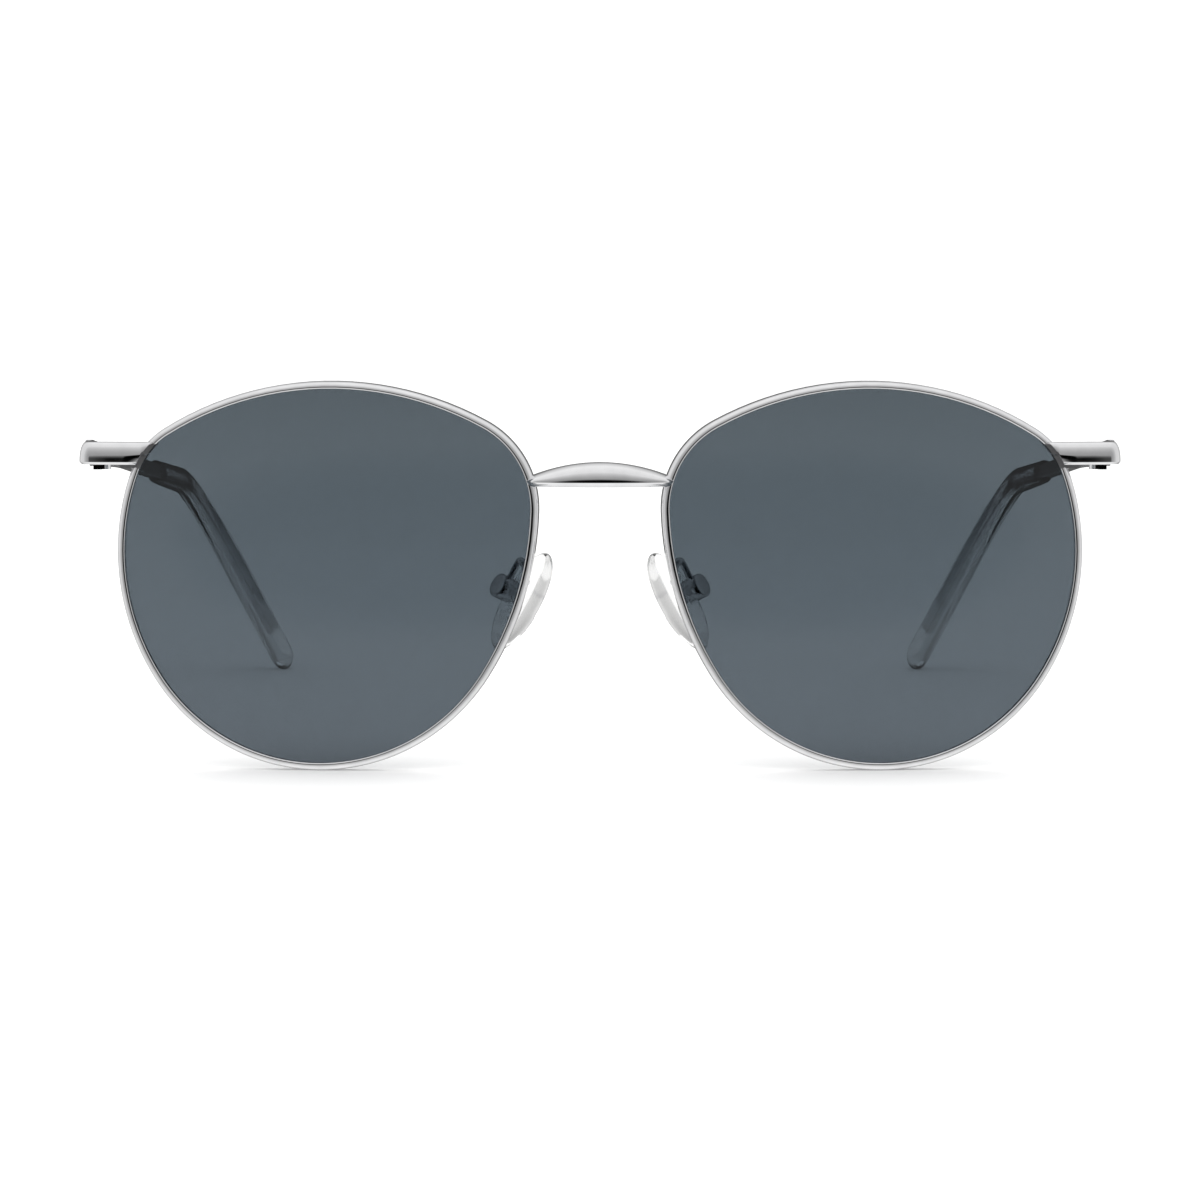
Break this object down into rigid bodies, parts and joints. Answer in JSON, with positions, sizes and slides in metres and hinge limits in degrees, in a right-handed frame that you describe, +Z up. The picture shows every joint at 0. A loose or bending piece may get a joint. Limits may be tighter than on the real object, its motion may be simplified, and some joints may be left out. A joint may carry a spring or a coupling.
{
  "type": "round wire sunglasses",
  "caption": "Round metal sunglasses with tinted lenses, a high arched bridge, clear rocking nose pads and folding temples with clear covers over their bent ends.",
  "frame": {"origin": "on the floor under the middle of the open glasses: the centre of the bounding box's underside", "axes": "+X to the wearer's left, +Y from the front back to the ears, +Z up; standing open on the rims and temple ends"},
  "size_m": [0.1354, 0.145, 0.0505],
  "materials": {
    "frame_metal": "polished silver-coloured metal",
    "screw_steel": "turned steel screws",
    "lens_tint": "grey-blue tinted, clear to look through, hard coated",
    "tip_clear": "clear cellulose acetate, polished",
    "pad_clear": "soft clear plastic, faintly satin"
  },
  "bodies": {
    "front": {"bridge": "frame_metal", "rim_left": "frame_metal", "rim_right": "frame_metal", "end_piece_left": "frame_metal", "end_piece_right": "frame_metal", "closing_block_upper_left": "frame_metal", "closing_block_upper_right": "frame_metal", "closing_block_lower_left": "frame_metal", "closing_block_lower_right": "frame_metal", "closing_screw_left": "screw_steel", "closing_screw_right": "screw_steel", "hinge_front_left": "frame_metal", "hinge_front_right": "frame_metal", "hinge_screw_left": "screw_steel", "hinge_screw_right": "screw_steel", "pad_arm_left": "frame_metal", "pad_arm_right": "frame_metal", "pad_box_left": "frame_metal", "pad_box_right": "frame_metal", "pad_screw_left": "screw_steel", "pad_screw_right": "screw_steel", "lens_left": "lens_tint", "lens_right": "lens_tint"},
    "temple_left": {"hinge_temple_left": "frame_metal", "temple_arm_left": "frame_metal", "temple_tip_left": "tip_clear"},
    "nose_pad_left": {"pad_insert_left": "frame_metal", "nose_pad_left": "pad_clear"},
    "temple_right": {"hinge_temple_right": "frame_metal", "temple_arm_right": "frame_metal", "temple_tip_right": "tip_clear"},
    "nose_pad_right": {"pad_insert_right": "frame_metal", "nose_pad_right": "pad_clear"}
  },
  "joints": [
    {"name": "temple_fold_left", "type": "hinge", "parent": "front", "child": "temple_left", "pos_m": [0.06542, -0.05827, 0.0403], "axis": [0, 0, 1], "range_deg": [0, 87.5]},
    {"name": "temple_fold_right", "type": "hinge", "parent": "front", "child": "temple_right", "pos_m": [-0.06542, -0.05827, 0.0403], "axis": [0, 0, -1], "range_deg": [0, 82.5]},
    {"name": "pad_rock_left", "type": "hinge", "parent": "front", "child": "nose_pad_left", "pos_m": [0.0123, -0.06497, 0.02343], "axis": [0.4352, 0.866, 0.2462], "range_deg": [-10, 10]},
    {"name": "pad_rock_right", "type": "hinge", "parent": "front", "child": "nose_pad_right", "pos_m": [-0.0123, -0.06497, 0.02343], "axis": [-0.4352, 0.866, 0.2462], "range_deg": [-10, 10]}
  ]
}
